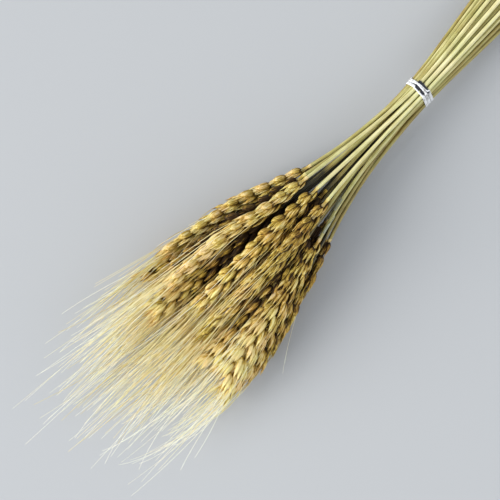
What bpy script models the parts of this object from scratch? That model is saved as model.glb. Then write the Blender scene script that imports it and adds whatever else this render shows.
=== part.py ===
"""A tied bunch of dried bearded wheat, lying on its side.

Each stalk is a straw stem with an ear at its end, and long awns stand out past the ear's tip. One
tie wound around the stems holds the bunch. +X runs along the stems to their cut ends, and +Z is up.
The bunch rests on z = 0 on its lowest ears and on the cut ends, and the tie is held off the ground.
"""

import math
from collections import namedtuple

import bmesh
import bpy
import numpy as np
from mathutils import Vector

MM = 0.001

# Driving sizes in millimetres. x is measured from the tie.
STEM_RADIUS = 0.95
STEM_END_X = 166.0
STEM_END_STAGGER = 7.0
EAR_RADIUS = 4.1
EAR_TIP_RADIUS = 1.8
CLEARANCE = 0.25

# An awn is a fine tapered bristle. Six stand around each ear's own line, and one lies on it.
AWN_RADIUS = 0.4
AWN_TIP_RADIUS = 0.16
AWN_SPREAD = 2.9
AWN_SHORTEST = 0.62
AWN_LONGEST = 0.98
AWN_TURN = math.radians(20)

# The ear's outline from its base to its tip, as shares of its length and of its full radius.
EAR_OUTLINE = (
    (0.0, 0.24),
    (0.06, 0.55),
    (0.15, 0.82),
    (0.28, 0.97),
    (0.42, 1.0),
    (0.57, 0.98),
    (0.72, 0.9),
    (0.86, 0.74),
    (1.0, 0.42),
)
# Where awns leave the ear, as shares of its length, two awns at each.
AWN_ROOTS = (0.66, 0.78, 0.9)
AWNS_AROUND = 2 * len(AWN_ROOTS)
# An awn's points, as shares of its length and of its full spread.
AWN_OUTLINE = ((0.0, 0.15), (0.3, 0.62), (1.0, 1.0))
MIDDLE_AWN_ROOT = 4.0

TIE_STRAND_RADIUS = 0.5
TIE_TURNS = 2.6
TIE_HALF_WIDTH = 2.5
TIE_POINTS_A_TURN = 22

# The places along x where a stalk's route is given: awn ends, ear tips, mid ears, ear bases, the
# tie, and two places on the cut side.
ROUTE_X = (-234.0, -145.0, -100.0, -60.0, 0.0, 50.0, 170.0)
TIE_INDEX = ROUTE_X.index(0.0)

# The heights of the layers in which the stalks lie, at the same places along x.
LAYER_Z = {
    "top": (21.0, 26.5, 28.5, 26.0, 19.5, 15.5, 11.0),
    "upper": (15.5, 20.0, 22.0, 22.0, 17.5, 13.5, 8.5),
    "middle": (11.0, 14.5, 16.0, 18.5, 15.5, 11.5, 6.0),
    "low": (7.0, 9.0, 10.5, 15.0, 13.5, 9.5, 3.5),
    "floor": (4.1, 4.1, 4.5, 11.5, 11.5, 7.5, 1.0),
}

# One stalk: where its ear starts, the ear's length, how far its awns pass the ear's tip, the layer
# it lies in, and its route sideways at the first four places of ROUTE_X. The first OUTER stalks lie
# on top and at the edges, and keep to their routes best.
OUTER = 11
Stalk = namedtuple("Stalk", "ear_x ear_length awns layer side")
STALKS = (
    Stalk(-61, 83, 60, "middle", (30.0, 21.5, 14.5, 5.8)),
    Stalk(-67, 83, 74, "top", (14.0, 10.0, 10.0, 5.0)),
    Stalk(-66, 83, 80, "top", (-6.0, -5.0, -3.0, -1.2)),
    Stalk(-66, 87, 76, "top", (-18.0, -16.3, -12.5, -6.3)),
    Stalk(-81, 80, 40, "upper", (-52.0, -38.5, -24.0, -10.5)),
    Stalk(-77, 72, 48, "low", (-50.0, -44.0, -31.0, -14.0)),
    Stalk(-66, 80, 55, "upper", (24.0, 18.5, 13.0, 5.2)),
    Stalk(-84, 82, 66, "upper", (7.0, 6.0, 4.5, 2.0)),
    Stalk(-64, 76, 84, "upper", (-12.0, -10.5, -8.0, -4.0)),
    Stalk(-84, 77, 66, "upper", (-30.0, -27.0, -18.5, -8.0)),
    Stalk(-102, 64, 30, "middle", (-46.0, -42.0, -29.0, -12.8)),
    Stalk(-74, 78, 62, "middle", (-24.0, -21.0, -15.0, -7.0)),
    Stalk(-72, 82, 70, "middle", (0.0, -1.0, -4.0, -1.6)),
    Stalk(-68, 78, 58, "low", (20.0, 14.0, 9.5, 4.2)),
    Stalk(-80, 76, 44, "floor", (24.0, 17.0, 11.5, 5.0)),
    Stalk(-74, 80, 66, "floor", (12.0, 8.5, 4.0, 2.0)),
    Stalk(-88, 72, 72, "floor", (0.0, -1.0, -3.5, -1.4)),
    Stalk(-72, 78, 74, "floor", (-12.0, -11.0, -11.0, -5.0)),
    Stalk(-86, 74, 46, "floor", (-26.0, -22.0, -19.0, -8.5)),
    Stalk(-76, 78, 38, "floor", (-40.0, -34.0, -27.0, -12.0)),
    Stalk(-80, 76, 68, "low", (7.0, 5.0, 2.0, 0.8)),
    Stalk(-70, 80, 72, "low", (-6.0, -6.0, -6.0, -2.8)),
    Stalk(-84, 76, 64, "low", (-18.0, -17.0, -14.0, -6.0)),
    Stalk(-72, 78, 42, "low", (-34.0, -29.0, -22.0, -10.0)),
    Stalk(-76, 78, 56, "middle", (14.0, 11.0, 6.5, 3.0)),
)

# In the tie the stems lie close together in rows, listed from the top. A stem far to one side lies
# nearer the middle row.
TIE_ROWS = (3, 4, 5, 6, 5, 2)
TIE_PITCH = (2.22, 1.92)
TIE_TOP = (0.4, 20.2)
ROUNDING = 0.6

# Sideways, the bunch opens again from the tie to the cut ends, where it bends aside.
SIDE_SPREAD = {50.0: (5.75, 1.85), 170.0: (19.0, 2.7)}

# How the stalks are eased apart along their routes.
STATION_STEP = 6.0
EASE_ROUNDS = 420
FINAL_ROUNDS = 260
LAST_PUSHES = 50
PULL_TO_ROUTE = 0.02
OUTER_PULL = 0.12
PULL_TO_TIE = 0.5
TIE_ZONE = 8.0
BEND_SMOOTHING = 0.35
FINAL_SMOOTHING = 0.06
PUSH_SHARE = 0.42
SPARE_ROOM = 1.03
STEM_STATIONS_APART = 2
LEAST_STEP = 3.0

STRAW = (0.66, 0.60, 0.33)
CHAFF = (0.62, 0.45, 0.19)
WHITE_PLASTIC = (0.86, 0.87, 0.88)


def empty_scene():
    for item in list(bpy.data.objects):
        bpy.data.objects.remove(item)


def collection(name):
    group = bpy.data.collections.new(name)
    bpy.context.scene.collection.children.link(group)
    return group


def material(name, colour, roughness):
    mat = bpy.data.materials.new(name)
    mat.use_nodes = True
    shader = mat.node_tree.nodes["Principled BSDF"]
    shader.inputs["Base Color"].default_value = (*colour, 1.0)
    shader.inputs["Roughness"].default_value = roughness
    shader.inputs["Metallic"].default_value = 0.0
    return mat


def smooth_curve(knots, values, at):
    """A smooth curve through the values given at the knots, read at other places."""
    slopes = np.gradient(values, knots)
    index = np.clip(np.searchsorted(knots, at) - 1, 0, len(knots) - 2)
    width = knots[index + 1] - knots[index]
    share = (at - knots[index]) / width
    start_weight = 2 * share**3 - 3 * share**2 + 1
    start_slope = share**3 - 2 * share**2 + share
    end_slope = share**3 - share**2
    return (
        start_weight * values[index]
        + (1 - start_weight) * values[index + 1]
        + width * (start_slope * slopes[index] + end_slope * slopes[index + 1])
    )


def scattered(number, steps):
    """A share from 0 to 1 that differs between neighbours in a row of like pieces."""
    return number * 2 % steps / (steps - 1)


def stem_end_x(number):
    """The cut ends don't line up: each stalk ends a little before or after its neighbours."""
    return STEM_END_X - STEM_END_STAGGER * scattered(number, 5)


def places_in_tie():
    """Each stem's y and z in the tie: row by row, in the order in which the stalks lie."""
    sides = np.array([stalk.side[-1] for stalk in STALKS])
    heights = np.array([LAYER_Z[stalk.layer][TIE_INDEX] for stalk in STALKS])
    aside = sides - sides.mean()
    aside /= np.abs(aside).max()
    lift = (heights - heights.mean()) * (1 - ROUNDING * aside**2)
    waiting = list(np.argsort(-lift))
    places = np.zeros((len(STALKS), 2))
    for row, count in enumerate(TIE_ROWS):
        members = sorted(waiting[:count], key=lambda number: sides[number])
        del waiting[:count]
        for place, number in enumerate(members):
            y = TIE_TOP[0] + TIE_PITCH[0] * (place - (count - 1) / 2)
            places[number] = y, TIE_TOP[1] - TIE_PITCH[1] * row
    return places


def wished_routes(stations):
    """Each stalk's route as y and z at the stations, before the stalks make room for each other."""
    knots = np.array(ROUTE_X)
    routes = []
    for stalk, (side_in_tie, height_in_tie) in zip(STALKS, places_in_tie()):
        side = [*stalk.side, side_in_tie]
        for shift, spread in SIDE_SPREAD.values():
            side.append(shift + spread * side_in_tie)
        height = list(LAYER_Z[stalk.layer])
        height[TIE_INDEX] = height_in_tie
        route = [smooth_curve(knots, np.array(values), stations) for values in (side, height)]
        routes.append(np.stack(route, axis=1))
    return np.array(routes)


def room_needed(stations):
    """The radius that each stalk takes up at each station, and zero where it doesn't reach."""
    shares, radii = zip(*EAR_OUTLINE)
    room = np.zeros((len(STALKS), len(stations)))
    for number, stalk in enumerate(STALKS):
        tip = stalk.ear_x - stalk.ear_length
        along = (stalk.ear_x - stations) / stalk.ear_length
        body = np.interp(along, shares, radii) * EAR_RADIUS
        body = np.where(along > AWN_ROOTS[0], np.maximum(body, AWN_SPREAD + AWN_RADIUS), body)
        body = np.where(stations > stalk.ear_x, STEM_RADIUS, body)
        there = (stations > tip - stalk.awns - STATION_STEP)
        there &= (stations < stem_end_x(number) + STATION_STEP)
        room[number] = np.where(there, body, 0.0)
    return room


def eased_routes(stations):
    """Moves the stalks sideways and upwards until none is inside another or below the ground."""
    wished = wished_routes(stations)
    room = room_needed(stations)
    there = room > 0
    routes = wished.copy()
    pairs = there[:, None] & there[None, :]
    pairs &= ~np.eye(len(STALKS), dtype=bool)[:, :, None]
    near_tie = np.exp(-((stations / TIE_ZONE) ** 2))[None, :, None]
    pull = np.full((len(STALKS), 1, 1), PULL_TO_ROUTE)
    pull[:OUTER] = OUTER_PULL
    all_rounds = EASE_ROUNDS + FINAL_ROUNDS
    for step in range(all_rounds):
        middle = (routes[:, :-2] + routes[:, 2:]) / 2
        easing = step < EASE_ROUNDS
        smoothing = BEND_SMOOTHING if easing else FINAL_SMOOTHING
        routes[:, 1:-1] += smoothing * (middle - routes[:, 1:-1])
        if easing:
            routes += pull * (1 - near_tie) * (wished - routes)
        if step < all_rounds - LAST_PUSHES:
            routes += PULL_TO_TIE * near_tie * (wished - routes)
        slope = np.gradient(routes, STATION_STEP, axis=1)
        slant = np.sqrt(1 + (slope**2).sum(axis=2))
        reach = room * slant * SPARE_ROOM + CLEARANCE / 2
        apart = routes[:, None] - routes[None, :]
        distance = np.sqrt((apart**2).sum(axis=3)) + 1e-9
        short = np.clip(reach[:, None] + reach[None, :] - distance, 0, None) * pairs
        push = (apart / distance[..., None] * short[..., None]).sum(axis=1)
        routes += PUSH_SHARE * push
        routes[..., 1] = np.maximum(routes[..., 1], room * slant)
    return routes


def point_at(stations, route, x):
    """The point of a stalk's centre line at x."""
    return Vector((x, np.interp(x, stations, route[:, 0]), np.interp(x, stations, route[:, 1])))


def tube(name, points, radii, sides_step, group):
    """A round tube through the points, with its own radius at each, as a closed mesh."""
    data = bpy.data.curves.new(name, "CURVE")
    data.dimensions = "3D"
    data.bevel_depth = MM
    data.bevel_resolution = sides_step
    data.use_fill_caps = True
    spline = data.splines.new("POLY")
    spline.points.add(len(points) - 1)
    for slot, point, radius in zip(spline.points, points, radii):
        slot.co = (*(point * MM), 1.0)
        slot.radius = radius
    drawn = bpy.data.objects.new(name + "_curve", data)
    bpy.context.scene.collection.objects.link(drawn)
    graph = bpy.context.evaluated_depsgraph_get()
    mesh = bpy.data.meshes.new_from_object(drawn.evaluated_get(graph))
    mesh.name = name
    bpy.data.objects.remove(drawn)
    bm = bmesh.new()
    bm.from_mesh(mesh)
    bmesh.ops.remove_doubles(bm, verts=bm.verts, dist=1e-6)
    bmesh.ops.recalc_face_normals(bm, faces=bm.faces)
    bm.to_mesh(mesh)
    bm.free()
    mesh.shade_smooth()
    mesh.set_sharp_from_angle(angle=math.radians(60))
    piece = bpy.data.objects.new(name, mesh)
    group.objects.link(piece)
    return piece


def stem_line(number, stations, route):
    """The points of one straw, from the base of its ear to its cut end."""
    first = STALKS[number].ear_x + CLEARANCE / 2
    last = stem_end_x(number)
    inner = stations[::STEM_STATIONS_APART]
    inner = inner[(inner > first + LEAST_STEP) & (inner < last - LEAST_STEP)]
    return [point_at(stations, route, x) for x in (first, *inner, last)]


def stem(number, line, group, mat):
    """One straw, from the base of its ear to its cut end."""
    piece = tube(f"stem_{number + 1:02d}", line, [STEM_RADIUS] * len(line), 1, group)
    piece.data.materials.append(mat)
    return piece


def awn_line(stations, route, root_x, end_x, out):
    """An awn leaves the ear near its tip and runs on beside the ear's line, spreading outwards."""
    points = []
    for share, spread in AWN_OUTLINE:
        middle = point_at(stations, route, root_x + (end_x - root_x) * share)
        points.append(middle + out * AWN_SPREAD * spread)
    return points


def awn_lines(stalk, stations, route):
    """The middle awn is the longest and lies on the ear's line, and the others stand around it."""
    tip = stalk.ear_x - stalk.ear_length
    straight_on = Vector((0, 0, 0))
    lines = [awn_line(stations, route, tip + MIDDLE_AWN_ROOT, tip - stalk.awns, straight_on)]
    for turn in range(AWNS_AROUND):
        root = stalk.ear_x - stalk.ear_length * AWN_ROOTS[turn // 2]
        share = AWN_SHORTEST + (AWN_LONGEST - AWN_SHORTEST) * scattered(turn, 5)
        angle = math.tau * turn / AWNS_AROUND + AWN_TURN * (turn % 2)
        out = Vector((0, math.cos(angle), math.sin(angle)))
        lines.append(awn_line(stations, route, root, tip - stalk.awns * share, out))
    return lines


def ear(number, stations, route, group, cutters, mat):
    """One ear: a spindle with a few of its awns joined to it."""
    stalk = STALKS[number]
    name = f"ear_{number + 1:02d}"
    base = stalk.ear_x - CLEARANCE / 2
    tip = stalk.ear_x - stalk.ear_length
    points = [point_at(stations, route, base + (tip - base) * share) for share, _ in EAR_OUTLINE]
    radii = [max(EAR_RADIUS * size, STEM_RADIUS) for _, size in EAR_OUTLINE]
    radii[-1] = EAR_TIP_RADIUS
    body = tube(name, points, radii, 2, group)
    for turn, line in enumerate(awn_lines(stalk, stations, route)):
        taper = np.linspace(AWN_RADIUS, AWN_TIP_RADIUS, len(line))
        awn = tube(f"{name}_awn_{turn}", line, taper, 0, cutters)
        awn.hide_render = True
        awn.display_type = "WIRE"
        join = body.modifiers.new(f"awn {turn}", "BOOLEAN")
        join.operation = "UNION"
        join.object = awn
    body.data.materials.append(mat)
    return body


def belt_point(lines, x, angle, off):
    """A point on a belt pulled tight around the stems, at this angle around them."""
    out = np.array((math.cos(angle), math.sin(angle)))
    stems = []
    for line in lines:
        along, side, height = np.array(line).T
        stems.append((np.interp(x, along, side), np.interp(x, along, height)))
    outermost = max(stems, key=lambda place: out @ place)
    return Vector((x, *(outermost + out * (STEM_RADIUS + off))))


def tie(lines, group, mat):
    """The tie is one strand wound around the stems, with both ends on the underside."""
    steps = round(TIE_TURNS * TIE_POINTS_A_TURN)
    start = -math.pi / 2 - (TIE_TURNS % 1) * math.pi
    points = []
    for step in range(steps + 1):
        share = step / steps
        x = TIE_HALF_WIDTH * (2 * share - 1)
        angle = start + math.tau * TIE_TURNS * share
        points.append(belt_point(lines, x, angle, CLEARANCE + TIE_STRAND_RADIUS))
    piece = tube("tie", points, [TIE_STRAND_RADIUS] * len(points), 1, group)
    piece.data.materials.append(mat)
    return piece


def centre_on_ground(pieces, carrier):
    """Places the bunch so that the middle of its box's floor is the origin."""
    graph = bpy.context.evaluated_depsgraph_get()
    corners = []
    for piece in pieces:
        shape = piece.evaluated_get(graph)
        corners.extend(piece.matrix_world @ Vector(corner) for corner in shape.bound_box)
    low = Vector(min(corner[axis] for corner in corners) for axis in range(3))
    high = Vector(max(corner[axis] for corner in corners) for axis in range(3))
    carrier.location = (-(low.x + high.x) / 2, -(low.y + high.y) / 2, -low.z)


def main():
    empty_scene()
    bunch = collection("wheat_bunch")
    cutters = collection("awn_cutters")
    straw = material("straw", STRAW, 0.5)
    chaff = material("chaff", CHAFF, 0.6)
    plastic = material("white_plastic", WHITE_PLASTIC, 0.25)

    stations = np.arange(ROUTE_X[0] - STATION_STEP, ROUTE_X[-1] + 1, STATION_STEP)
    routes = eased_routes(stations)
    carrier = bpy.data.objects.new("bunch_origin", None)
    bunch.objects.link(carrier)
    lines = [stem_line(number, stations, route) for number, route in enumerate(routes)]
    pieces = []
    for number, route in enumerate(routes):
        pieces.append(stem(number, lines[number], bunch, straw))
        pieces.append(ear(number, stations, route, bunch, cutters, chaff))
    pieces.append(tie(lines, bunch, plastic))
    for item in [*pieces, *cutters.objects]:
        item.parent = carrier
    bpy.context.view_layer.update()
    centre_on_ground(pieces, carrier)


main()
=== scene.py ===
from collections import namedtuple

import bpy
import numpy as np
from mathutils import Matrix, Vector


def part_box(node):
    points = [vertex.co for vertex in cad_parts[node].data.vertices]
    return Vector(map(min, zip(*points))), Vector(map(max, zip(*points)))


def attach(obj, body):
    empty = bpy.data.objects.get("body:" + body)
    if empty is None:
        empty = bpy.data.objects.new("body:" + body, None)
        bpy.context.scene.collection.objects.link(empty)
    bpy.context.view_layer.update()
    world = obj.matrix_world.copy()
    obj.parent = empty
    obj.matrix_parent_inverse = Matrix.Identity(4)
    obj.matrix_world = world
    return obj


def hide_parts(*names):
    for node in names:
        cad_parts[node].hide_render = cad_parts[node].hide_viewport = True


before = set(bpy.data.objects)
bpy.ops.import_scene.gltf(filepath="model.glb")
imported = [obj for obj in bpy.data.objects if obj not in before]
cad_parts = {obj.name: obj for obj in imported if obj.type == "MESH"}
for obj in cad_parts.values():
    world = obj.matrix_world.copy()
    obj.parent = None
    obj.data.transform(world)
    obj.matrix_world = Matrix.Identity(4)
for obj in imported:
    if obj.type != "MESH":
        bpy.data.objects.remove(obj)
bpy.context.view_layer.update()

# The straws. Each is one dry hollow straw, pale yellow with a green or brown cast, finely ribbed along
# its length. It is thickest at its cut end, where its hollow shows, and thins to a neck below its ear.
MM = 0.001
RING_GAP = 1.2
STRAW_STEP = 2.5
STRAW_SIDES = 12
# How far from its ear, and the straw's radius there, in millimetres.
STRAW_RADII = ((0.0, 0.82), (60.0, 0.92), (250.0, 1.04))
STRAW_HOLLOW = 0.62
HOLLOW_DEEP = 7.0
# From 0, pale yellow-green, to 1, golden brown. The lower straws, deep in the bunch, have the high
# tones, which are partly their own golden brown and partly painted shade for the shade they lie in.
STRAW_TONES = (
    0.50, 0.20, 0.00, 0.05, 0.40, 0.85, 0.55, 0.60, 0.45, 0.60, 0.95, 0.90, 0.85,
    0.90, 0.95, 0.95, 0.95, 1.00, 0.95, 1.00, 0.90, 0.95, 1.00, 1.00, 0.80,
)
# Each straw is a little thicker or thinner than the next.
STRAW_THICKNESS = (1.0, 1.07, 0.93, 1.1, 0.95)
# Between its ear and the tie a lower straw may bow to one side of its CAD line, by this much at most.
STRAWS_BOW = {17: 0.8, 21: -0.6, 22: 0.4, 24: -0.4, 19: -0.7}
EAR_TO_TIE = 80.0


def unit(vectors):
    return vectors / np.linalg.norm(vectors, axis=-1, keepdims=True)


def smooth_through(knots, values, at):
    """A smooth curve through the values that the knots have, read at other places and past the ends."""
    slopes = np.gradient(values, knots, axis=0)
    index = np.clip(np.searchsorted(knots, at) - 1, 0, len(knots) - 2)
    width = (knots[index + 1] - knots[index])[:, None]
    share = (np.clip(at, knots[0], knots[-1]) - knots[index])[:, None] / width
    weight = 2 * share**3 - 3 * share**2 + 1
    curve = weight * values[index] + (1 - weight) * values[index + 1]
    curve += width * (share**3 - 2 * share**2 + share) * slopes[index]
    curve += width * (share**3 - share**2) * slopes[index + 1]
    past = (at - np.clip(at, knots[0], knots[-1]))[:, None]
    return curve + past * np.where(past > 0, slopes[-1], slopes[0])


def ring_middles(node):
    """The middles of the rings of points that a CAD tube is made of, in millimetres, along x."""
    places = np.array([point.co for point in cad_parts[node].data.vertices]) / MM
    places = np.unique(places.round(3), axis=0)
    breaks = np.flatnonzero(np.diff(places[:, 0]) > RING_GAP) + 1
    return np.array([ring.mean(axis=0) for ring in np.split(places, breaks)])


# How far the bunch reaches at each place along it and in each way around it, from its CAD pieces.
REACH_STEP = 4.0
REACH_WINDOW = 7.0
WAYS_AROUND = 24
# Painted shade inside the bunch is weaker where its ears part and light reaches in: places along it, and
# how shut it is there.
OPENS_OUT = ((-118.0, -104.0, -92.0, -75.0), (0.15, 0.35, 0.68, 0.92))
cad_points = [[point.co for point in node.data.vertices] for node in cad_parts.values()]
cad_points = np.concatenate([np.array(points) for points in cad_points]) / MM
reach_places = np.arange(cad_points[:, 0].min(), cad_points[:, 0].max(), REACH_STEP)
ways_around = np.arange(WAYS_AROUND) * 2 * np.pi / WAYS_AROUND
ways_around = np.stack([np.cos(ways_around), np.sin(ways_around)])
reaches = np.array([
    (cad_points[np.abs(cad_points[:, 0] - place) < REACH_WINDOW, 1:] @ ways_around).max(axis=0)
    for place in reach_places
])


def shade_depth_inside(points):
    """How deep each point lies inside the bunch, in millimetres, less where the bunch opens out. This
    sets how much painted shade each point gets.
    """
    own_reaches = points[:, 1:] @ ways_around
    full = [np.interp(points[:, 0], reach_places, reaches[:, way]) for way in range(WAYS_AROUND)]
    shut = np.interp(points[:, 0], *OPENS_OUT)
    return (np.stack(full, axis=1) - own_reaches).min(axis=1) * shut


# Nothing dips lower than this towards the floor, in millimetres. Edges are sharp from this angle up.
LEAST_HEIGHT = 0.12
SHARP_EDGE = 50.0
# Each husk, awn or straw starts at its own place in the grain, so that no two have the same streaks.
GRAIN_SHIFT, GRAIN_SHIFTS_WITHIN = 11.0, 97


class Growth:
    """Gathers the rings of points of many straws, husks or awns, which become one mesh."""

    def __init__(self):
        self.points, self.faces, self.parts = [], [], []
        self.marks = {"grain": [], "tint": [], "rim": []}
        self.count = 0

    def add(self, middles, across, back, outline, widths, depths, tint, part=0):
        """Carries an outline along the middles. The tint is the share along, a tone and a gold."""
        flat = outline[..., 0] * widths[:, None]
        deep = outline[..., 1] * depths[:, None]
        rings = middles[:, None] + across * flat[..., None] + back * deep[..., None]
        rings[..., 2] = np.maximum(rings[..., 2], LEAST_HEIGHT)
        steps, sides = flat.shape
        run = np.concatenate([[0], np.cumsum(np.linalg.norm(np.diff(middles, axis=0), axis=1))])
        run = np.broadcast_to(run[:, None], flat.shape)
        own = GRAIN_SHIFT * len(self.points) % GRAIN_SHIFTS_WITHIN
        share = np.broadcast_to(tint[0][:, None], flat.shape)
        rest = [np.full(flat.shape, value) for value in tint[1:]]
        # Rim runs from 0 along a husk's keel to 1 at its edges. On the husks it drives painted shade at
        # the edges, where the husks overlap, so the keel reads as lit.
        rim = np.broadcast_to(np.abs(outline[..., 0]) ** 3, flat.shape)
        self.marks["grain"].append(np.stack([flat + own, deep - own, run + own], axis=-1).reshape(-1, 3))
        self.marks["tint"].append(np.stack([share, *rest], axis=-1).reshape(-1, 3))
        self.marks["rim"].append(rim.reshape(-1))
        index = self.count + np.arange(steps * sides).reshape(steps, sides)
        turned = np.roll(index, -1, axis=1)
        quads = np.stack([index[:-1], turned[:-1], turned[1:], index[1:]], axis=-1)
        self.faces += quads.reshape(-1, 4).tolist()
        self.faces += [index[0, ::-1].tolist(), index[-1].tolist()]
        self.parts += [part] * ((steps - 1) * sides + 2)
        self.points.append(rings.reshape(-1, 3))
        self.count += steps * sides

    def piece(self, name, materials):
        data = bpy.data.meshes.new(name)
        points = np.concatenate(self.points)
        data.from_pydata((points * MM).tolist(), [], self.faces)
        # Each point's depth inside the bunch, for the painted shade in its material.
        self.marks["deep"] = [shade_depth_inside(points)]
        for label, values in self.marks.items():
            values = np.concatenate(values).astype(np.float32)
            kind, slot = ("FLOAT", "value") if values.ndim == 1 else ("FLOAT_VECTOR", "vector")
            data.attributes.new(label, kind, "POINT").data.foreach_set(slot, values.ravel())
        for material in materials:
            data.materials.append(material)
        data.polygons.foreach_set("material_index", self.parts)
        data.shade_smooth()
        data.set_sharp_from_angle(angle=np.radians(SHARP_EDGE))
        made = bpy.data.objects.new(name, data)
        bpy.context.scene.collection.objects.link(made)
        return made


def level_frames(middles):
    """Along a line: the way it runs, the level way across it, and the way up from it."""
    along = unit(np.gradient(middles, axis=0))
    across = unit(np.cross(along, [0.0, 0.0, 1.0]))
    return along, across, np.cross(across, along)


def round_outline(sides):
    turn = np.pi / 2 + np.arange(sides) * 2 * np.pi / sides
    return np.stack([np.cos(turn), np.sin(turn)], axis=1)


def marked(nodes, label):
    """What each point of a straw, husk or awn has under this label."""
    attribute = nodes.new("ShaderNodeAttribute")
    attribute.attribute_name = label
    return attribute


def colour_ramp(nodes, tones):
    """Colours that run into one another from place to place."""
    ramp = nodes.new("ShaderNodeValToRGB")
    marks = ramp.color_ramp.elements
    marks.remove(marks[1])
    for step, (position, colour) in enumerate(tones):
        mark = marks[0] if step == 0 else marks.new(position)
        mark.position = position
        mark.color = (*colour, 1.0)
    return ramp


def fibre_group():
    """Fine streaks that run along a straw, husk or awn, and soft patches, from its own grain."""
    group = bpy.data.node_groups.new("dry fibre", "ShaderNodeTree")
    for label in ("Streaks per mm", "Streak length", "Patch size"):
        group.interface.new_socket(label, in_out="INPUT", socket_type="NodeSocketFloat")
    for label in ("Streak", "Patch"):
        group.interface.new_socket(label, in_out="OUTPUT", socket_type="NodeSocketFloat")
    nodes, links = group.nodes, group.links
    given, shown = nodes.new("NodeGroupInput"), nodes.new("NodeGroupOutput")
    grain = marked(nodes, "grain")
    apart = nodes.new("ShaderNodeSeparateXYZ")
    links.new(grain.outputs["Vector"], apart.inputs[0])
    shorter = nodes.new("ShaderNodeMath")
    shorter.operation = "DIVIDE"
    links.new(apart.outputs["Z"], shorter.inputs[0])
    links.new(given.outputs["Streak length"], shorter.inputs[1])
    drawn = nodes.new("ShaderNodeCombineXYZ")
    links.new(apart.outputs["X"], drawn.inputs["X"])
    links.new(apart.outputs["Y"], drawn.inputs["Y"])
    links.new(shorter.outputs[0], drawn.inputs["Z"])
    streak = nodes.new("ShaderNodeTexNoise")
    streak.inputs["Detail"].default_value = 3.0
    links.new(drawn.outputs[0], streak.inputs["Vector"])
    links.new(given.outputs["Streaks per mm"], streak.inputs["Scale"])
    links.new(streak.outputs["Fac"], shown.inputs["Streak"])
    patch_scale = nodes.new("ShaderNodeMath")
    patch_scale.operation = "DIVIDE"
    patch_scale.inputs[0].default_value = 1.0
    links.new(given.outputs["Patch size"], patch_scale.inputs[1])
    patch = nodes.new("ShaderNodeTexNoise")
    patch.inputs["Detail"].default_value = 2.0
    links.new(grain.outputs["Vector"], patch.inputs["Vector"])
    links.new(patch_scale.outputs[0], patch.inputs["Scale"])
    links.new(patch.outputs["Fac"], shown.inputs["Patch"])
    return group


dry_fibre = fibre_group()
# Painted shade at a husk's root, under the husks that lie over it, and at a straw's neck below its ear,
# ends at this share of it.
PAINTED_ROOT_SHADE_END = 0.34
# Painted shade: the straws, sheaths, husks and awns are darkened where they lie this deep inside the
# bunch, in millimetres, for the shade there.
PAINTED_SHADE_DEPTHS = (3.0, 9.5)
# How large the patches of one cast are in millimetres, and where in the noise each cast is full.
CAST_SIZE = 9.0
CAST_TURNS = (0.36, 0.64)


def dry_colour(nodes, links, fibre, tones, start, drives, casts):
    """It runs from pale to dark, from where it starts and by how much the streaks, patches, tint, rim,
    root and depth each drive it on. The rim, root and depth drives are painted shade, at a husk's edges,
    at a husk's root or a straw's neck, and deep in the bunch. It has two casts, in broad patches."""
    tint = nodes.new("ShaderNodeSeparateXYZ")
    links.new(marked(nodes, "tint").outputs["Vector"], tint.inputs[0])
    # Painted shade at the root of a husk and at a straw's neck.
    root = nodes.new("ShaderNodeMapRange")
    root.interpolation_type = "SMOOTHSTEP"
    root.inputs["From Max"].default_value = PAINTED_ROOT_SHADE_END
    root.inputs["To Min"].default_value = 1.0
    root.inputs["To Max"].default_value = 0.0
    links.new(tint.outputs["X"], root.inputs["Value"])
    # Painted shade deep inside the bunch.
    deep = nodes.new("ShaderNodeMapRange")
    deep.inputs["From Min"].default_value = PAINTED_SHADE_DEPTHS[0]
    deep.inputs["From Max"].default_value = PAINTED_SHADE_DEPTHS[1]
    links.new(marked(nodes, "deep").outputs["Fac"], deep.inputs["Value"])
    sources = {
        "share": tint.outputs["X"],
        "tone": tint.outputs["Y"],
        "gold": tint.outputs["Z"],
        "rim": marked(nodes, "rim").outputs["Fac"],
        "root": root.outputs["Result"],
        "deep": deep.outputs["Result"],
        "patch": fibre.outputs["Patch"],
        "streak": fibre.outputs["Streak"],
    }
    place = None
    for source, amount in drives.items():
        step = nodes.new("ShaderNodeMath")
        step.operation = "MULTIPLY_ADD"
        step.inputs[1].default_value = amount
        step.inputs[2].default_value = start
        links.new(sources[source], step.inputs[0])
        if place:
            links.new(place, step.inputs[2])
        place = step.outputs[0]
    ramp = colour_ramp(nodes, tones)
    links.new(place, ramp.inputs["Fac"])
    around = nodes.new("ShaderNodeTexCoord")
    broad = nodes.new("ShaderNodeTexNoise")
    broad.inputs["Scale"].default_value = 1 / (CAST_SIZE * MM)
    links.new(around.outputs["Object"], broad.inputs["Vector"])
    cast = colour_ramp(nodes, zip(CAST_TURNS, casts))
    links.new(broad.outputs["Fac"], cast.inputs["Fac"])
    toned = nodes.new("ShaderNodeVectorMath")
    toned.operation = "MULTIPLY"
    links.new(ramp.outputs["Color"], toned.inputs[0])
    links.new(cast.outputs["Color"], toned.inputs[1])
    return toned.outputs[0]


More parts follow.
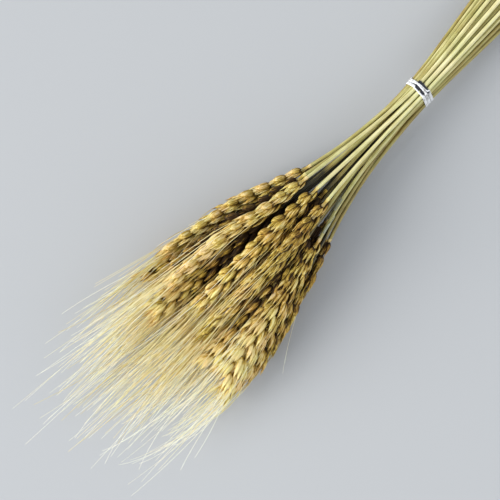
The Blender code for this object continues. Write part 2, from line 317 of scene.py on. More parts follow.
def dry_material(
    name, tones, start, drives, casts, streaks, patch_size, roughness, relief, shine,
):
    """A dry plant skin, with fine streaks along it that show in its colour, gloss and relief."""
    made = bpy.data.materials.new(name)
    made.use_nodes = True
    nodes, links = made.node_tree.nodes, made.node_tree.links
    skin = nodes["Principled BSDF"]
    skin.inputs["Specular IOR Level"].default_value = shine
    fibre = nodes.new("ShaderNodeGroup")
    fibre.node_tree = dry_fibre
    fibre.inputs["Streaks per mm"].default_value = streaks[0]
    fibre.inputs["Streak length"].default_value = streaks[1]
    fibre.inputs["Patch size"].default_value = patch_size
    colour = dry_colour(nodes, links, fibre, tones, start, drives, casts)
    links.new(colour, skin.inputs["Base Color"])
    rough = nodes.new("ShaderNodeMapRange")
    rough.inputs["To Min"].default_value = roughness[0]
    rough.inputs["To Max"].default_value = roughness[1]
    links.new(fibre.outputs["Streak"], rough.inputs["Value"])
    links.new(rough.outputs["Result"], skin.inputs["Roughness"])
    bump = nodes.new("ShaderNodeBump")
    bump.inputs["Distance"].default_value = relief * MM
    links.new(fibre.outputs["Streak"], bump.inputs["Height"])
    links.new(bump.outputs["Normal"], skin.inputs["Normal"])
    return made


straw_skin = dry_material(
    "straw skin",
    tones=[
        (0.0, (0.98, 0.93, 0.58)),
        (0.3, (0.76, 0.70, 0.34)),
        (0.55, (0.47, 0.43, 0.15)),
        (0.75, (0.42, 0.32, 0.09)),
        (1.0, (0.035, 0.03, 0.012)),
    ],
    start=-0.52,
    # The root and deep drives are painted shade, at the neck below the ear and deep in the bunch.
    drives={"tone": 0.6, "patch": 0.4, "streak": 0.95, "root": 0.12, "deep": 0.95},
    casts=((1.0, 0.97, 0.93), (0.96, 1.0, 0.92)),
    streaks=(2.4, 26.0),
    patch_size=7.0,
    roughness=(0.34, 0.5),
    relief=0.12,
    shine=0.5,
)
# A leaf's sheath is what is left of the leaf that wrapped the straw: a thin grey-white skin, torn.
sheath_skin = dry_material(
    "dry leaf sheath",
    tones=[
        (0.0, (0.66, 0.66, 0.55)),
        (0.4, (0.44, 0.45, 0.32)),
        (0.7, (0.20, 0.18, 0.10)),
        (1.0, (0.04, 0.035, 0.02)),
    ],
    start=-0.35,
    # The deep drive is painted shade, deep in the bunch.
    drives={"tone": 0.4, "patch": 0.6, "streak": 0.9, "deep": 0.6},
    casts=((1.0, 0.98, 0.95), (0.94, 0.98, 0.92)),
    streaks=(3.0, 12.0),
    patch_size=4.0,
    roughness=(0.45, 0.65),
    relief=0.12,
    shine=0.4,
)
# Where a straw still has a rag of its sheath: how far from its ear in millimetres, how long, which
# side of the straw it is on in degrees, and how far its torn end stands off.
Rag = namedtuple("Rag", "start length turn stands_off")
RAGS = {
    5: (Rag(3.0, 9.0, 70, 1.0), Rag(14.0, 6.0, 140, 0.8)),
    11: (Rag(2.0, 12.0, 60, 1.2),),
    12: (Rag(1.0, 10.0, 80, 0.9),),
    24: (Rag(-1.0, 20.0, 110, 1.4),),
}
RAG_STEPS = 12
RAG_SIDES = 7
# In degrees around the straw: half its full width, its least width and how unevenly its edges are torn.
RAG_WIDEST = 38.0
RAG_NARROWEST = 12.0
RAG_TEAR = 6.0
# The share of its width that it loses towards its torn end.
RAG_NARROWS = 0.75
# In straw radii: how far from the straw's middle it starts, and how thick it is.
RAG_CLEAR = 1.14
RAG_THICKNESS = 0.10
chance = np.random.default_rng(7)


def rag_outlines(rag):
    """A thin arc round the straw at each step, with torn edges, that opens towards its torn end."""
    share = np.linspace(0, 1, RAG_STEPS)
    tear = np.cumsum(chance.normal(0, RAG_TEAR, (2, RAG_STEPS)), axis=1)
    low = -RAG_WIDEST * (1 - RAG_NARROWS * share**1.5) + tear[0]
    high = RAG_WIDEST * (1 - RAG_NARROWS * share**1.5) + tear[1]
    high = np.maximum(high, low + RAG_NARROWEST)
    turn = low[:, None] + (high - low)[:, None] * np.linspace(0, 1, RAG_SIDES)
    turn = np.radians(turn + rag.turn)
    arc = np.stack([np.cos(turn), np.sin(turn)], axis=-1)
    off = (RAG_CLEAR + rag.stands_off * share**2)[:, None, None]
    inner, outer = arc * off, arc * (off + RAG_THICKNESS)
    return np.concatenate([outer, inner[:, ::-1]], axis=1)


straw_lines = {}
for number, tone in enumerate(STRAW_TONES, 1):
    rings = ring_middles(f"stem_{number:02d}")
    straw_lines[number] = rings
    at = np.linspace(rings[0, 0], rings[-1, 0], int(np.ptp(rings[:, 0]) / STRAW_STEP))
    middles = smooth_through(rings[:, 0], rings, at)
    bow = np.sin(np.pi * np.clip((at - at[0]) / EAR_TO_TIE, 0, 1))
    middles[:, 1] += STRAWS_BOW.get(number, 0.0) * bow
    radii = np.interp(at - at[0], *zip(*STRAW_RADII)) * STRAW_THICKNESS[number % len(STRAW_THICKNESS)]
    straight = unit(middles[-1] - middles[-2])
    hollow = middles[-1] - straight * np.array([[0.0], [HOLLOW_DEEP]])
    _, across, up = level_frames(middles)
    ends = [*range(len(middles)), -1, -1]
    straw = Growth()
    straw.add(
        np.concatenate([middles, hollow]), across[ends, None], up[ends, None],
        round_outline(STRAW_SIDES), *[np.concatenate([radii, [radii[-1] * STRAW_HOLLOW] * 2])] * 2,
        (np.linspace(0, 1, len(ends)), tone, 0.5),
    )
    for rag in RAGS.get(number, ()):
        along_rag = rings[0, 0] + rag.start + np.linspace(0, rag.length, RAG_STEPS)
        rag_middles = smooth_through(rings[:, 0], rings, along_rag)
        _, across, up = level_frames(rag_middles)
        size = np.interp(along_rag, at, radii)
        straw.add(
            rag_middles, across[:, None], up[:, None], rag_outlines(rag), size, size,
            (np.linspace(0, 1, RAG_STEPS), chance.random(), 0.5), 1,
        )
    piece = straw.piece(f"straw_{number:02d}", [straw_skin, sheath_skin])
    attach(piece, "root")
    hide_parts(f"stem_{number:02d}")

# The ears. Each has a zigzag stalk of its own with 15 to 20 spikelets, which stand left and right of it
# in turn. A spikelet is two glumes outside and five longer husks between them, each a keeled boat of
# chaff that ends in a point. Some of the longer husks run out into awns, up to 90 mm long.
Ear = namedtuple(
    "Ear", "roll twist flare plump open gold tip_gold turns aside tip_aside awn_length awn_fan",
)
# For each ear: how far its two rows lie turned from level and how far they twist along it, in degrees;
# how far its spikelets stand off, in degrees, and how plump and how open they are; how golden brown it
# is at its base and at its tip, where 0 is pale, and the share of it where the one turns to the other;
# how far it lies aside in two places, in millimetres; how long its awns are, in millimetres, and how far
# they spread, in degrees.
# The high golds of the ears that lie low in the bunch, some above 1 and darker than golden brown, are
# partly painted shade, for the shade they lie in.
EARS = {
    1: Ear(70, 18, 6, 0.74, 0.45, 0.24, 0.25, 0.5, -0.2, 2.4, 66, 3.5),
    2: Ear(80, 18, 12, 0.90, 0.60, 0.26, 0.05, 0.5, -0.8, 0.9, 78, 3.5),
    3: Ear(34, 18, 9, 0.86, 0.46, 0.54, 0.36, 0.5, -2.0, -1.2, 85, 3.5),
    4: Ear(66, 18, 17, 0.97, 0.70, 0.88, 0.70, 0.5, 0.2, 0.2, 77, 3.5),
    5: Ear(32, -75, 19, 0.84, 1.10, 0.66, -0.50, 0.5, 2.4, 2.4, 61, 4.5),
    6: Ear(-58, 18, 13, 0.85, 0.80, 1.05, 0.60, 0.5, 2.8, 1.0, 54, 3.0),
    7: Ear(38, 18, 8, 0.54, 0.25, 1.60, 0.50, 0.8, -3.2, -2.6, 60, 3.0),
    8: Ear(40, 18, 17, 1.10, 1.00, 1.40, 0.05, 0.6, 0.6, 0.6, 75, 3.0),
    9: Ear(110, 18, 10, 0.80, 0.50, 1.15, 0.80, 0.5, 0.0, 0.0, 79, 2.5),
    10: Ear(10, 18, 17, 0.98, 0.95, 1.30, -0.55, 0.70, 0.6, 0.0, 65, 4.0),
    11: Ear(35, 18, 19, 0.85, 1.00, 0.80, -0.20, 0.5, 0.0, 0.0, 50, 3.5),
    12: Ear(75, 18, 15, 0.95, 0.80, 1.10, 0.80, 0.5, 0.0, 0.0, 64, 3.0),
    13: Ear(15, 18, 15, 0.95, 0.80, 1.20, 0.75, 0.5, 1.5, 1.5, 84, 3.0),
    14: Ear(95, 18, 17, 1.00, 0.90, 1.10, 0.70, 0.5, 0.0, 0.0, 60, 3.0),
    15: Ear(8, 18, 16, 1.00, 0.80, 0.95, 0.60, 0.5, -2.0, -0.5, 46, 3.5),
    16: Ear(-6, 18, 16, 1.00, 0.80, 0.60, 0.40, 0.5, 0.0, 0.0, 66, 3.0),
    17: Ear(5, 18, 16, 1.00, 0.80, 0.60, 0.40, 0.5, 0.0, 0.0, 70, 3.0),
    18: Ear(-8, 18, 16, 1.00, 0.80, 0.60, 0.40, 0.5, 0.0, 0.0, 72, 3.0),
    19: Ear(6, 18, 16, 1.00, 0.80, 0.80, 0.30, 0.5, 0.0, 0.0, 54, 3.5),
    20: Ear(-4, 18, 16, 1.00, 0.80, 0.60, 0.10, 0.5, 1.6, 1.0, 50, 3.5),
    21: Ear(30, 18, 16, 1.00, 0.90, 0.90, 0.60, 0.5, 0.0, 0.0, 68, 3.0),
    22: Ear(70, 18, 16, 1.00, 0.90, 0.90, 0.60, 0.5, 0.0, 0.0, 70, 3.0),
    23: Ear(100, 18, 16, 1.00, 0.90, 0.90, 0.60, 0.5, 0.0, 0.0, 62, 3.0),
    24: Ear(45, 18, 17, 1.00, 0.90, 1.20, 0.40, 0.6, 0.0, 0.0, 50, 3.5),
    25: Ear(60, 18, 15, 0.95, 0.80, 1.10, 0.70, 0.5, 0.0, 0.0, 60, 3.0),
}
# An ear turns from its own gold to its tip's over this share of it. It lies aside of its place in the
# CAD by its own two distances at the second and third of these places.
GOLD_TURNS = 0.08
ASIDE_AT = (0.0, 0.3, 0.8)
# The rings of its CAD solid lie at these shares of an ear, up to where the awns cut into it.
EAR_SHARES = np.array([0.0, 0.06, 0.15, 0.28, 0.42, 0.57, 0.72, 0.86])
# The ear's own stalk: the shares of the ear where it starts and ends, its radii along it in millimetres,
# how much thicker it is where a spikelet stands, and its shade.
STALK_STEPS = 90
STALK_ENDS = (-0.01, 0.93)
STALK_RADII = ([0, 0.04, 0.5, 1], [0.82, 0.86, 0.75, 0.4])
KNOTS = 0.16
STALK_TONE, STALK_GOLD = 0.4, 0.1
# How far apart the spikelets stand and how far off the stalk's middle, in millimetres.
SPIKELET_PITCH = 4.3
SPIKELET_OFF = 0.6
# The first one's share of the ear, the share over which the rest follow, and how they crowd at the base.
FIRST_SPIKELET, SPIKELETS_RUN, CROWD = 0.015, 0.87, 1.08
# How unevenly they turn and stand off, in degrees, and how their sizes differ.
TURN_VARIES, FLARE_VARIES = 5.0, 2.5
SIZE_VARIES = (0.91, 1.08)
# Along an ear: how large its spikelets are and how much of their full flare they have.
SIZE_KNOTS = [0.0, 0.05, 0.13, 0.26, 0.62, 0.86, 1.0]
SIZES = [0.54, 0.70, 0.88, 1.0, 1.0, 0.92, 0.80]
FLARE_KNOTS = [0.0, 0.2, 0.85, 1.0]
FLARES = [0.35, 1.0, 0.9, 0.45]

# A husk's rings lie at these shares of it.
HUSK_STEPS = np.array([0.0, 0.06, 0.17, 0.32, 0.49, 0.65, 0.80, 1.0])
# Across a husk: its sharp keel, its two sides down to thin margins, and its hollow inner face.
HUSK_ACROSS = np.array([
    (0.0, 1.25), (-0.45, 0.86), (-0.84, 0.42), (-1.0, 0.0),
    (0.0, -0.2), (1.0, 0.0), (0.84, 0.42), (0.45, 0.86),
])
# A full-sized husk of each kind: how broad it is ring by ring, its width and depth, how far its back
# bulges and its point curls back, in millimetres, and how far its back turns outward. Then how single
# ones differ: in their lean, in degrees, in their flare, in their length and in how golden they are.
Husk = namedtuple("Husk", "outline width depth bulge curl faces_out leans flares lengths golds")
GLUME = Husk(
    outline=np.array([0.36, 0.60, 0.84, 1.0, 0.99, 0.82, 0.46, 0.05]),
    width=3.1, depth=1.1, bulge=0.5, curl=-0.1, faces_out=0.35,
    leans=3.0, flares=(0.0, 0.02), lengths=(0.86, 1.05), golds=0.08,
)
FLOWER_HUSK = Husk(
    outline=np.array([0.32, 0.66, 0.94, 1.0, 0.86, 0.56, 0.25, 0.08]),
    width=2.7, depth=1.2, bulge=0.35, curl=0.1, faces_out=0.75,
    leans=3.5, flares=(0.02, 0.04), lengths=(0.90, 1.08), golds=0.10,
)
# A glume's length in millimetres, its lean in degrees, the share of the flare that it has, and how far
# from the stalk's middle it stands.
GLUME_LENGTH = 9.8
GLUME_LEAN = 12.0
GLUME_FLARE = 0.5
GLUMES_APART, GLUMES_LEAST_APART = 1.1, 0.7
# The flowers of a spikelet from the lowest up: side, start, length, lean in degrees, how far out, and
# how often one has an awn.
Flower = namedtuple("Flower", "side start length lean outward awn_odds")
FLOWERS = (
    Flower(-1.0, 0.6, 11.0, 9.0, 1.1, 1.0),
    Flower(1.0, 1.4, 11.0, 9.0, 1.1, 1.0),
    Flower(-0.55, 2.2, 10.2, 6.0, 2.0, 0.7),
    Flower(0.55, 3.3, 9.4, 6.0, 2.2, 0.4),
    Flower(0.0, 4.8, 8.4, 0.0, 2.9, 0.2),
)
# How far out a flower has the full flare, and how far to its side it stands, in millimetres.
FULL_FLARE_OUT = 2.2
FLOWER_ASIDE = 0.8

# The grains between a spikelet's husks, which only show where the husks part: their size and how far
# off the stalk they lie, in millimetres, and how much of their way is along the spikelet and how much
# out. They are darker than most of its husks.
GRAINS_LENGTH, GRAINS_WIDTH, GRAINS_DEPTH = 8.0, 2.1, 1.7
GRAINS_OFF = 1.3
GRAINS_ALONG, GRAINS_OUT = 0.96, 0.28
GRAINS_TONE, GRAINS_MORE_GOLD = 0.8, 0.05
GRAIN_STEPS = np.array([0.0, 0.12, 0.35, 0.65, 0.88, 1.0])
GRAIN_OUTLINE = np.array([0.2, 0.7, 1.0, 0.95, 0.55, 0.1])

AWN_POINTS = 14
AWN_RADIUS = 0.15
AWN_TIP_RADIUS = 0.07
# The share of the awns that an ear has along it. Spikelets smaller than this have none.
AWNS_ALONG = ([0.1, 0.7], [0.4, 1.0])
AWNLESS_SIZE = 0.7
# The shortest awn as a share of the ear's awn length, what chance adds, and how it favours short ones.
AWN_SHORTEST, AWN_VARIES, AWN_FAVOURS = 0.34, 0.72, 1.2
# An awn straightens over this many millimetres and draws in towards the ear's line by this share. Its
# points crowd a little towards its tip.
AWN_STRAIGHTENS = 7.0
AWN_GATHERS = 0.7
AWN_CROWD = 0.85
# The awns of an ear run in a few wisps, which spread sideways and half as much up and down. How far an
# awn strays from its wisp, and how far it bows.
WISPS = 6
WISPS_SPREAD = [0, 1, 0.5]
WISP_SCATTER = 0.02
AWN_BOW = 0.05
# A husk's point lies this share of the ear further along than its root.
HUSK_SHARE = 0.12
# The awns of the ears further to the near side than this, in millimetres, bend back in.
AWNS_STRAIGHT_TO = 14.0
AWNS_TURN_IN = 0.006
awn_outline = round_outline(4)


def ear_line(node, aside, tip_aside):
    """The ear's own line, from its base through its tip and on along its middle awn."""
    rings = ring_middles(node)[::-1]
    length = (rings[0, 0] - rings[5, 0]) / EAR_SHARES[5]
    knots = np.concatenate([EAR_SHARES, [(rings[0, 0] - rings[-1, 0]) / length]])
    points = np.concatenate([rings[: len(EAR_SHARES)], rings[-1:]])
    points[:, 1] += np.interp(knots, ASIDE_AT, (0.0, aside, tip_aside))
    return lambda share: smooth_through(knots, points, np.atleast_1d(share)), length


# Where a spikelet sits: its share of the ear, its root, the way the stalk runs and its own side of it,
# the ways it points, faces out and lies flat, its flare, its size and how golden it is.
Seat = namedtuple("Seat", "share root stalk_way side along out flat flare size gold")


class WheatEar(Growth):
    """One ear as it grows. Its husks draw their chances apart from its awns."""

    def __init__(self, number, look):
        super().__init__()
        self.look = look
        self.line, self.length = ear_line(f"ear_{number:02d}", look.aside, look.tip_aside)
        self.chance = np.random.default_rng(number)
        self.sway = np.random.default_rng(number + len(EARS))
        ways = np.radians(self.sway.normal(0, look.awn_fan, (WISPS, 3)))
        self.wisps = np.tan(ways) * WISPS_SPREAD

    def way(self, share, ahead=0.05, behind=0.0):
        """The way that the ear's line runs, read between two places on it."""
        return unit(self.line(share + ahead) - self.line(share - behind))[0]

    def stalk(self):
        """The ear's own stalk, with a knot where each spikelet stands."""
        at = np.linspace(*STALK_ENDS, STALK_STEPS)
        middles = self.line(at)
        _, across, up = level_frames(middles)
        radii = np.interp(at, *STALK_RADII)
        radii = radii * (1 + KNOTS * np.cos(at * self.length * 2 * np.pi / SPIKELET_PITCH))
        self.add(
            middles, across[:, None], up[:, None], round_outline(8), radii, radii,
            (np.full(len(at), 0.5), STALK_TONE, STALK_GOLD),
        )

    def seat(self, place, spikelets):
        """The seat of a spikelet by its place in the row, left and right of the stalk in turn."""
        look = self.look
        share = FIRST_SPIKELET + (place / (spikelets - 1)) ** CROWD * SPIKELETS_RUN
        stalk_way = self.way(share, ahead=0.02, behind=0.02)
        level = unit(np.cross(stalk_way, [0.0, 0.0, 1.0]))
        turn = look.roll + look.twist * (share - 0.5) + self.chance.normal(0, TURN_VARIES)
        turn = np.radians(turn)
        side = level * np.cos(turn) + np.cross(level, stalk_way) * np.sin(turn)
        side = side * (1 if place % 2 else -1)
        flare = look.flare * np.interp(share, FLARE_KNOTS, FLARES)
        flare = np.radians(flare + self.chance.normal(0, FLARE_VARIES))
        size = np.interp(share, SIZE_KNOTS, SIZES) * self.chance.uniform(*SIZE_VARIES)
        along = stalk_way * np.cos(flare) + side * np.sin(flare)
        out = side * np.cos(flare) - stalk_way * np.sin(flare)
        turned = 1 / (1 + np.exp((look.turns - share) / GOLD_TURNS))
        gold = look.gold + (look.tip_gold - look.gold) * turned
        root = self.line(share)[0] + side * SPIKELET_OFF
        return Seat(share, root, stalk_way, side, along, out, np.cross(along, out), flare, size, gold)

    def spikelet(self, seat):
        """Two glumes outside, then the flowers' husks in turn left and right, each higher than the last.
        Those next to the stalk lie along it, and the outer ones stand off by the flare."""
        self.grains(seat)
        for hand in (-1, 1):
            foot = seat.root + seat.flat * hand * max(GLUMES_APART * seat.size, GLUMES_LEAST_APART)
            self.husk(GLUME, seat, foot, hand, GLUME_LEAN, GLUME_FLARE * seat.flare, GLUME_LENGTH)
        for flower in FLOWERS:
            foot = seat.along * flower.start + seat.flat * flower.side * FLOWER_ASIDE
            foot = seat.root + (foot + seat.out * flower.outward * self.look.open) * seat.size
            flare = seat.flare * flower.outward / FULL_FLARE_OUT
            point, way = self.husk(
                FLOWER_HUSK, seat, foot, flower.side, flower.lean, flare, flower.length,
            )
            odds = flower.awn_odds * np.interp(seat.share, *AWNS_ALONG)
            if seat.size > AWNLESS_SIZE and self.sway.random() < odds:
                self.awn(seat, point, way)

    def grains(self, seat):
        foot = seat.root + seat.out * GRAINS_OFF * seat.size
        way = seat.along * GRAINS_ALONG + seat.out * GRAINS_OUT
        self.add(
            foot + way * GRAIN_STEPS[:, None] * GRAINS_LENGTH * seat.size,
            seat.flat, seat.out, round_outline(8),
            GRAIN_OUTLINE * GRAINS_WIDTH * seat.size, GRAIN_OUTLINE * GRAINS_DEPTH * seat.size,
            (GRAIN_STEPS, GRAINS_TONE, seat.gold + GRAINS_MORE_GOLD),
        )

    def husk(self, kind, seat, foot, hand, lean, flare, length):
        """A boat of chaff, from its foot to its point. Returns the point and the way it points."""
        lean = np.radians(lean * self.look.open + self.chance.normal(0, kind.leans))
        axis = seat.stalk_way * np.cos(lean) + seat.flat * np.sign(hand) * np.sin(lean)
        axis = unit(axis + seat.side * (flare + self.chance.normal(*kind.flares)))
        across = unit(np.cross(seat.flat * hand + seat.out * kind.faces_out, axis))
        back = np.cross(axis, across)
        steps = HUSK_STEPS[:, None]
        middles = foot + axis * (length * seat.size * self.chance.uniform(*kind.lengths)) * steps
        bulge = kind.bulge * seat.size * np.sin(np.pi * steps) + kind.curl * steps**2
        middles = middles + back * bulge
        width = kind.width * seat.size * self.look.plump
        depth = kind.depth * seat.size * self.look.plump
        self.add(
            middles, across, back, HUSK_ACROSS, kind.outline * width / 2, kind.outline**0.8 * depth,
            (HUSK_STEPS, self.chance.random(), seat.gold + self.chance.normal(0, kind.golds)),
        )
        return middles[-1], unit(middles[-1] - middles[-2])

    def awn(self, seat, start, way):
        """An awn leaves its husk's point, bends round to run along with the ear, and joins a wisp."""
        varies = AWN_VARIES * self.sway.random() ** AWN_FAVOURS
        reach = self.look.awn_length * (AWN_SHORTEST + varies)
        wisp = self.wisps[self.sway.integers(WISPS)] + self.sway.normal(0, WISP_SCATTER, 3)
        turn_in = AWNS_TURN_IN * max(-start[1] - AWNS_STRAIGHT_TO, 0)
        bow = self.sway.normal(0, AWN_BOW, 3) + [0, turn_in, 0]
        run = np.linspace(0, 1, AWN_POINTS) ** AWN_CROWD * reach
        share = seat.share + HUSK_SHARE
        follows = self.line(share + run / self.length)
        along = self.way(share)
        aside = way - along * (way @ along)
        gathered = 1 - AWN_GATHERS * (1 - np.exp(-run / reach))
        middles = follows + (start - follows[0]) * gathered[:, None]
        middles = middles + aside * AWN_STRAIGHTENS * (1 - np.exp(-run / AWN_STRAIGHTENS))[:, None]
        middles = middles + wisp * run[:, None]
        middles = middles + bow * ((run / reach) ** 2 * reach)[:, None]
        self.bristle(middles, self.sway.random(), seat.gold)

    def stray_awn(self, stray):
        """An awn that sets off one way and ends another, while its end dips."""
        run = np.linspace(0, 1, 2 * AWN_POINTS)
        along = self.way(stray.share)
        near = unit(np.cross([0.0, 0.0, 1.0], along))
        bend = np.radians(stray.sets_off + (stray.ends - stray.sets_off) * run**STRAY_BEND)
        ways = along * np.cos(bend)[:, None] + near * np.sin(bend)[:, None]
        ways[:, 2] -= stray.drop / stray.reach
        start = self.line(stray.share)[0] + near * STRAY_OFF
        self.bristle(start + np.cumsum(ways, axis=0) * stray.reach / len(run), 0.0, 0.0)

    def bristle(self, middles, tone, gold):
        """An awn: a rough bristle that thins towards its tip."""
        middles[:, 2] = np.maximum(middles[:, 2], 2 * LEAST_HEIGHT)
        _, across, up = level_frames(middles)
        radii = np.linspace(AWN_RADIUS, AWN_TIP_RADIUS, len(middles))
        self.add(
            middles, across[:, None], up[:, None], awn_outline, radii, radii,
            (np.linspace(0, 1, len(middles)), tone, gold), 1,
        )


husk_skin = dry_material(
    "chaff",
    tones=[
        (0.0, (0.98, 0.85, 0.42)),
        (0.22, (0.80, 0.60, 0.17)),
        (0.45, (0.58, 0.39, 0.07)),
        (0.7, (0.29, 0.17, 0.028)),
        (1.0, (0.04, 0.021, 0.006)),
    ],
    start=-1.36,
    # The rim, root and deep drives are painted shade, at the husks' edges and roots, where they overlap,
    # and deep in the bunch.
    drives={
        "share": -0.3, "tone": 0.34, "gold": 0.55, "rim": 0.6, "root": 0.5,
        "patch": 0.45, "streak": 2.0, "deep": 0.95,
    },
    casts=((1.0, 0.87, 0.87), (0.94, 0.95, 0.77)),
    streaks=(2.0, 9.0),
    patch_size=3.0,
    roughness=(0.42, 0.62),
    relief=0.7,
    shine=0.2,
)
awn_skin = dry_material(
    "awns",
    tones=[
        (0.0, (0.96, 0.955, 0.84)),
        (0.35, (0.92, 0.81, 0.42)),
        (0.65, (0.58, 0.41, 0.10)),
        (1.0, (0.16, 0.11, 0.07)),
    ],
    start=0.0,
    # The deep drive is painted shade, deep in the bunch.
    drives={"share": -0.42, "tone": 0.48, "gold": 0.32, "streak": 0.3, "deep": 0.25},
    casts=((1.0, 0.96, 0.92), (0.97, 1.0, 0.95)),
    streaks=(3.0, 20.0),
    patch_size=6.0,
    roughness=(0.35, 0.5),
    relief=0.05,
    shine=0.35,
)

# Awns that have bent away from the rest: the ear, the place on it, the length, the way it sets off and
# the way it ends in degrees from the ear's line (towards the near side), and the dip of its end.
Stray = namedtuple("Stray", "ear share reach sets_off ends drop")
STRAYS = (
    Stray(6, 0.34, 37, 8, 16, 3.0),
    Stray(6, 0.37, 40, 10, 18, 4.0),
    Stray(5, 0.92, 42, 20, -56, 8.0),
    Stray(5, 0.98, 38, 14, -38, 7.0),
    Stray(5, 0.80, 52, 14, 2, 10.0),
    Stray(5, 0.86, 66, 2, -32, 12.0),
    Stray(6, 0.94, 58, -2, -28, 4.0),
    Stray(10, 0.97, 66, 0, -24, 12.0),
    Stray(11, 0.90, 44, 8, 16, 6.0),
    Stray(11, 0.93, 62, -4, -36, 6.0),
    Stray(10, 0.95, 62, 4, 20, 12.0),
    Stray(4, 0.97, 78, 2, 20, 16.0),
    Stray(3, 0.96, 84, -3, 10, 15.0),
    Stray(7, 0.9, 70, -8, 8, 12.0),
    Stray(1, 0.9, 60, -10, -2, 8.0),
)
# A stray awn bends the more the nearer its tip, and starts this far off the ear's line in millimetres.
STRAY_BEND = 2.2
STRAY_OFF = 1.5

for number, look in EARS.items():
    ear = WheatEar(number, look)
    ear.stalk()
    spikelets = round(ear.length / SPIKELET_PITCH)
    for place in range(spikelets):
        ear.spikelet(ear.seat(place, spikelets))
    for stray in STRAYS:
        if stray.ear == number:
            ear.stray_awn(stray)
    piece = ear.piece(f"wheat_ear_{number:02d}", [husk_skin, awn_skin])
    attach(piece, "root")
    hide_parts(f"ear_{number:02d}")

# The tie is one soft glossy white strand pulled flat around the straws. Its turns lie together on both
# sides of the bunch and part on top, where a dark turn shows between them. The dark turn is dark
# plastic, and where it widens on top it is also painted shade, for the shade beside the parted white
# turns.
TIE_STEPS = 90
# How far off the straws the turns lie, how far the white ones lie over the dark one, and how thick the
# two are, in millimetres. How often a turn's course is eased, so that it doesn't follow each straw.
TIE_OFF = 0.06
WHITE_OFF = 0.10
WHITE_DEPTH = 0.32
DARK_DEPTH = 0.22
TIE_EASED = 3
# At angles around the bunch, from the far side over the top: the middle and width of each white turn
# and of the dark one beneath, along the straws.
TIE_ANGLES = [-180.0, -150.0, -60.0, 0.0, 26.0, 50.0, 78.0, 104.0, 122.0, 180.0]
TURNS = {
    "left": (
        [-1.7, -1.8, -1.8, -1.4, -1.2, -1.8, -2.0, -1.8, -1.6, -1.7],
        [1.8, 1.8, 1.8, 1.9, 1.7, 0.9, 0.7, 0.9, 1.5, 1.8],
    ),
    "middle": (
        [0.0, 0.1, 0.0, 0.0, 0.3, 0.5, 0.45, 0.3, 0.1, 0.0],
        [1.7, 1.8, 1.8, 1.8, 1.4, 0.95, 0.9, 1.0, 1.5, 1.7],
    ),
    "right": (
        [1.7, 1.8, 1.8, 1.3, 0.9, 0.7, 0.8, 1.5, 1.8, 1.7],
        [1.7, 1.7, 1.7, 1.5, 0.8, 0.3, 0.3, 0.9, 1.8, 1.7],
    ),
}
# The dark turn's wider part on top is partly painted shade.
DARK_TURN = (
    [0.0, 0.0, 0.0, 0.0, 0.0, 0.1, 0.4, 0.3, 0.0, 0.0],
    [2.4, 2.4, 2.4, 2.4, 2.4, 3.6, 4.2, 4.0, 2.4, 2.4],
)
# Across a strand: its flat underside and its rounded top.
STRAND_ACROSS = np.array([
    (0.0, 1.0), (-0.5, 0.9), (-0.85, 0.6), (-1.0, 0.15), (-0.8, -0.1),
    (0.8, -0.1), (1.0, 0.15), (0.85, 0.6), (0.5, 0.9),
])


def belt(x, turn, off):
    """A point on a belt pulled tight around the straws, at this angle around them."""
    out = np.array([np.cos(turn), np.sin(turn)])
    lines = straw_lines.values()
    places = [[np.interp(x, line[:, 0], line[:, axis]) for axis in (1, 2)] for line in lines]
    outermost = max(places, key=lambda place: out @ place)
    return np.array([x, *(outermost + out * (STRAW_RADII[1][1] + off))])


def smooth_ring(values, rounds):
    for _ in range(rounds):
        values = (np.roll(values, 1, axis=0) + 2 * values + np.roll(values, -1, axis=0)) / 4
    return values


PLASTIC_PATCHES = (0.47, 0.66)
PATCHES_PER_METRE = 620.0
CREASES_PER_METRE = 1500.0
CREASE_DEPTH = 0.2


def plastic(name, colours, relief, roughness, coat):
    """Soft plastic film: two close colours in soft patches, with fine creases across it."""
    made = bpy.data.materials.new(name)
    made.use_nodes = True
    nodes, links = made.node_tree.nodes, made.node_tree.links
    skin = nodes["Principled BSDF"]
    skin.inputs["Roughness"].default_value = roughness
    skin.inputs["Coat Weight"].default_value = coat
    skin.inputs["Coat Roughness"].default_value = 0.08
    place = nodes.new("ShaderNodeTexCoord")
    patch = nodes.new("ShaderNodeTexNoise")
    patch.inputs["Scale"].default_value = PATCHES_PER_METRE
    links.new(place.outputs["Object"], patch.inputs["Vector"])
    ramp = colour_ramp(nodes, zip(PLASTIC_PATCHES, colours))
    links.new(patch.outputs["Fac"], ramp.inputs["Fac"])
    links.new(ramp.outputs["Color"], skin.inputs["Base Color"])
    crease = nodes.new("ShaderNodeTexNoise")
    crease.inputs["Scale"].default_value = CREASES_PER_METRE
    links.new(place.outputs["Object"], crease.inputs["Vector"])
    bump = nodes.new("ShaderNodeBump")
    bump.inputs["Strength"].default_value = relief
    bump.inputs["Distance"].default_value = CREASE_DEPTH * MM
    links.new(crease.outputs["Fac"], bump.inputs["Height"])
    links.new(bump.outputs["Normal"], skin.inputs["Normal"])
    return made


white_plastic = plastic(
    "white plastic", ((0.93, 0.94, 0.96), (0.50, 0.49, 0.46)), relief=0.5, roughness=0.22, coat=0.6,
)
dark_plastic_and_shade = plastic(
    "dark plastic and painted shade", ((0.012, 0.013, 0.022), (0.03, 0.03, 0.045)), relief=0.3, roughness=0.3, coat=0.3,
)

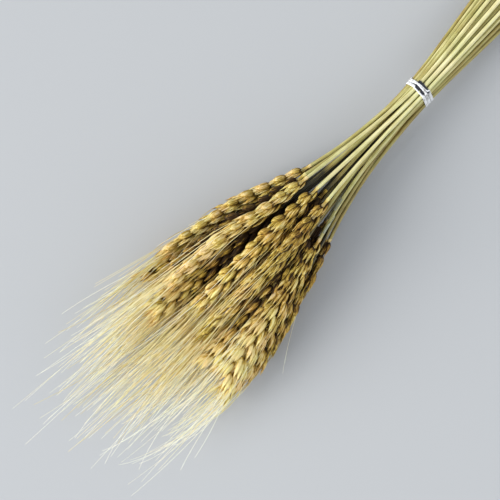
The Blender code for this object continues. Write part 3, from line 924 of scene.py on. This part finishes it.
tie_x = np.mean([corner[0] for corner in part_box("tie")]) / MM
tie = Growth()
turns = np.radians(np.linspace(-180, 180, TIE_STEPS, endpoint=False))
for part, off, depth, (middle, width) in (
    (1, 0.0, DARK_DEPTH, DARK_TURN), *((0, WHITE_OFF, WHITE_DEPTH, turn) for turn in TURNS.values()),
):
    shift = np.interp(np.degrees(turns), TIE_ANGLES, middle)
    middles = np.array([belt(tie_x + x, turn, TIE_OFF + off) for x, turn in zip(shift, turns)])
    middles = smooth_ring(middles, TIE_EASED)
    along = unit(np.roll(middles, -1, axis=0) - np.roll(middles, 1, axis=0))
    across = unit(np.array([1.0, 0.0, 0.0]) - along * along[:, :1])
    back = np.cross(along, across)
    widths = np.interp(np.degrees(turns), TIE_ANGLES, width) / 2
    closed = [*range(TIE_STEPS), 0]
    tie.add(
        middles[closed], across[closed, None], back[closed, None], STRAND_ACROSS, widths[closed],
        np.full(len(closed), depth), (np.linspace(0, 1, len(closed)), 0.5, 0.5), part,
    )
piece = tie.piece("white_tie", [white_plastic, dark_plastic_and_shade])
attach(piece, "root")
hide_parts("tie")

# The floor is a plain pale sheet. One broad soft lamp stands low on the far side, beyond the awns, and
# throws the bunch's shadow towards the near side. A weak lamp faces it, and soft light comes from all
# round.
FLOOR_SIZE = 8.0
FLOOR_COLOUR = (0.50, 0.515, 0.53, 1)
floor_data = bpy.data.meshes.new("floor")
half = FLOOR_SIZE / 2
corners = [(-half, -half, 0), (half, -half, 0), (half, half, 0), (-half, half, 0)]
floor_data.from_pydata(corners, [], [(0, 1, 2, 3)])
floor = bpy.data.objects.new("floor", floor_data)
bpy.context.scene.collection.objects.link(floor)
floor_paint = bpy.data.materials.new("pale floor")
floor_paint.use_nodes = True
floor_shader = floor_paint.node_tree.nodes["Principled BSDF"]
floor_shader.inputs["Base Color"].default_value = FLOOR_COLOUR
floor_shader.inputs["Roughness"].default_value = 0.7
floor_data.materials.append(floor_paint)

world = bpy.data.worlds.new("room light")
bpy.context.scene.world = world
world.use_nodes = True
sky = world.node_tree.nodes["Background"]
sky.inputs["Color"].default_value = (0.88, 0.93, 1.0, 1)
sky.inputs["Strength"].default_value = 0.57
LAMPS_AIM = (-0.05, 0.0, 0.0)


def lamp(name, place, size, power, colour):
    data = bpy.data.lights.new(name, "AREA")
    data.size, data.energy, data.color = size, power, colour
    made = bpy.data.objects.new(name, data)
    made.location = place
    made.rotation_mode = "QUATERNION"
    made.rotation_quaternion = (Vector(LAMPS_AIM) - Vector(place)).to_track_quat("-Z", "Y")
    bpy.context.scene.collection.objects.link(made)


lamp("window", (-4.16, 2.05, 2.0), size=3.3, power=372.0, colour=(1.0, 0.985, 0.96))
lamp("reflector", (1.3, -2.1, 1.6), size=2.6, power=24.0, colour=(1.0, 0.99, 0.97))

# The camera looks straight down. The bunch runs up to the right across its picture, and the stems run
# out of it. The width is what the camera sees at this height, in metres.
CAMERA_TURN = -42.0
VIEW_MIDDLE = (-0.0749, 0.0065)
VIEW_WIDTH = 0.230
VIEW_HEIGHT = 0.020
camera_data = bpy.data.cameras.new("camera")
camera_data.lens, camera_data.sensor_width = 85.0, 36.0
camera = bpy.data.objects.new("camera", camera_data)
away = VIEW_WIDTH / camera_data.sensor_width * camera_data.lens
camera.location = (*VIEW_MIDDLE, VIEW_HEIGHT + away)
camera.rotation_euler = (0, 0, np.radians(CAMERA_TURN))
camera_data.clip_start = 0.01
bpy.context.scene.collection.objects.link(camera)
bpy.context.scene.camera = camera
bpy.context.scene.view_settings.view_transform = "Standard"
